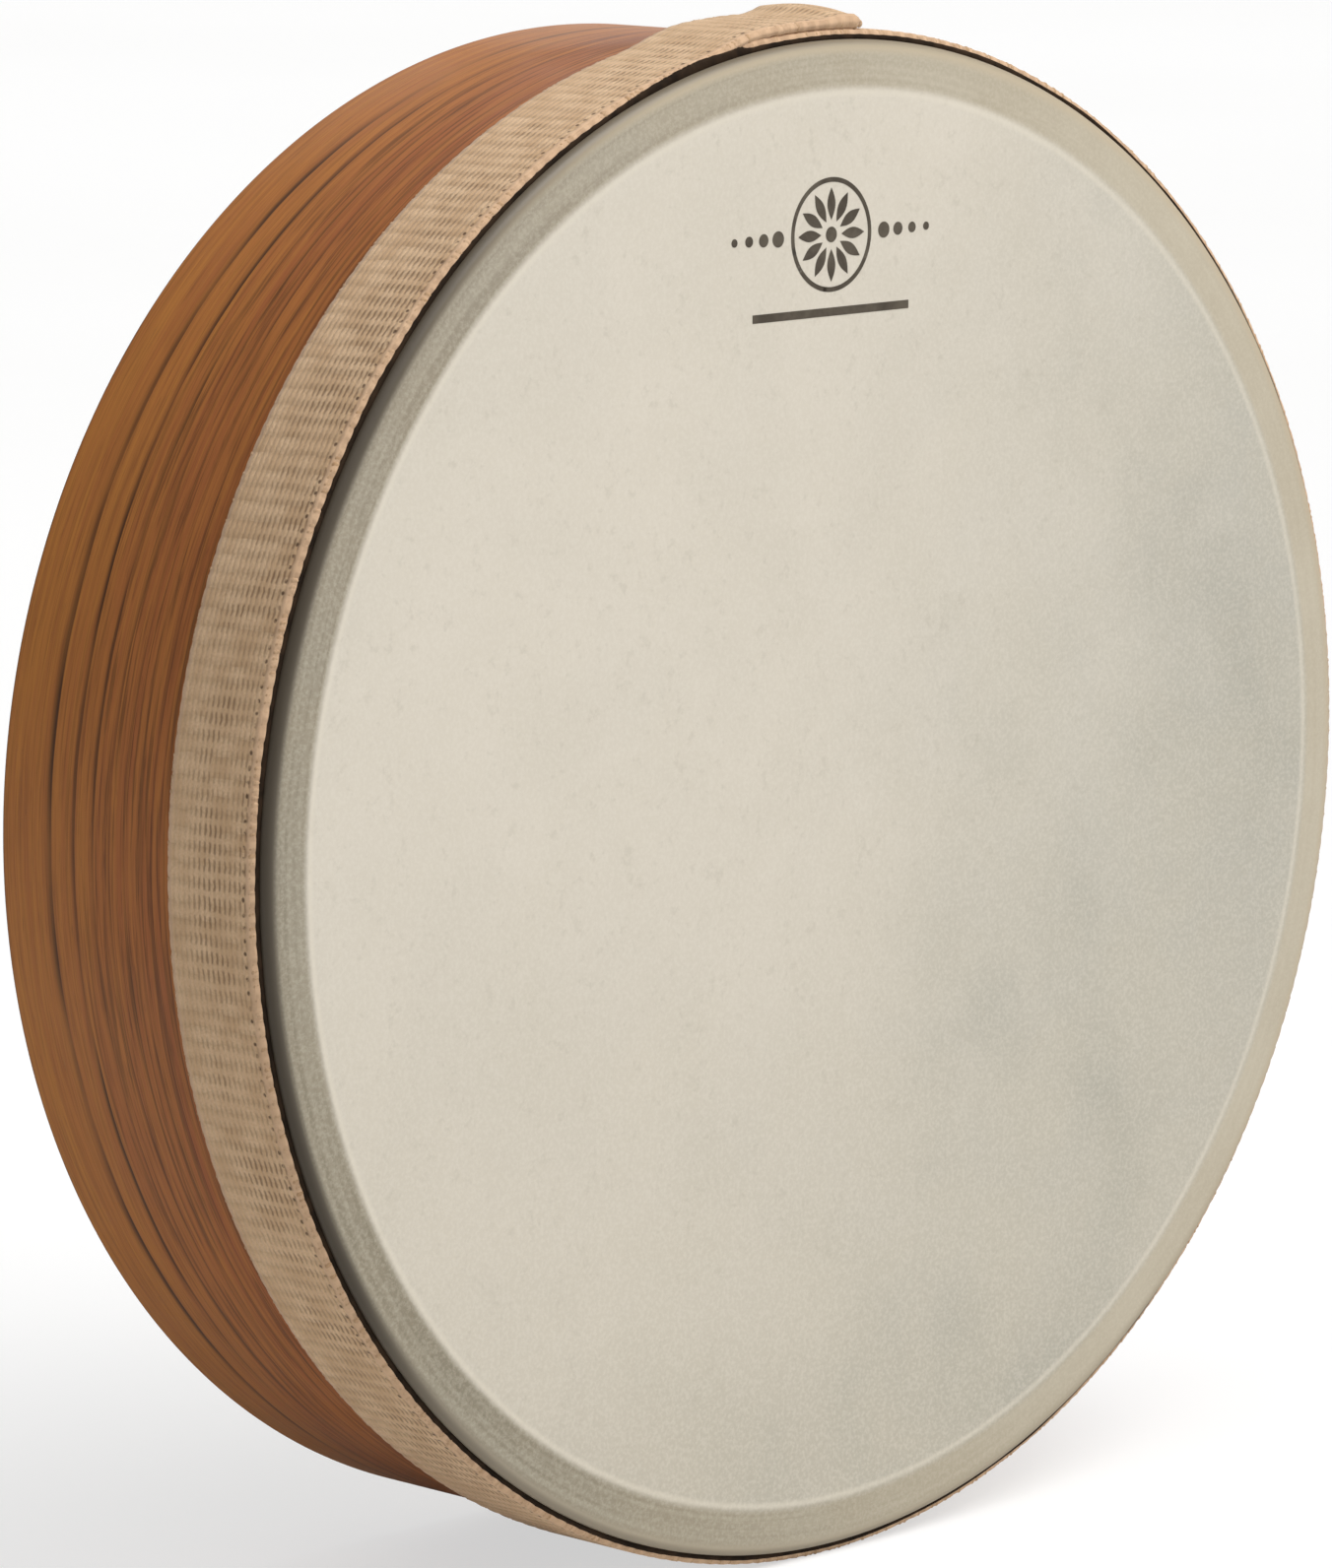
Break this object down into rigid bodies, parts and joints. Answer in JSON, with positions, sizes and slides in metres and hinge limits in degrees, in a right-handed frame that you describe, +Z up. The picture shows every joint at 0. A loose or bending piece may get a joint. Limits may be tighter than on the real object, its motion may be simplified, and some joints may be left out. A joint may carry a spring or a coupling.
{
  "type": "frame drum",
  "caption": "Round shallow hand drum with a bent-ply hoop, a glued synthetic head, a woodgrain outside and a webbing trim round the rim; the back is open.",
  "frame": {"origin": "on the floor under the middle of the drum's depth, as the drum stands upright on its rim", "axes": "+Z up, Y along the drum's axis: the head faces -Y and the open back faces +Y; +X is to the right seen from the front"},
  "size_m": [0.257, 0.065, 0.2586],
  "materials": {
    "woodgrain": "satin reddish-brown woodgrain with dark grain lines that run round the hoop",
    "hoop_ply": "bare bent ply, matte",
    "inner_ply": "sealed ply, low sheen",
    "head_film": "ivory film with a soft cloudy mottle, satin",
    "clear_glue": "cured amber glue",
    "dark_glue": "near-black adhesive, dull",
    "webbing": "beige ribbed webbing"
  },
  "bodies": {
    "root": {"shell_face_ply": "woodgrain", "shell_bonded_ply": "hoop_ply", "shell_third_ply": "hoop_ply", "shell_second_ply": "hoop_ply", "shell_inner_ply": "inner_ply", "drumhead_film": "head_film", "head_glue_band": "clear_glue", "webbing_tape": "dark_glue", "edge_glue_line": "dark_glue", "trim_webbing": "webbing"}
  },
  "joints": []
}
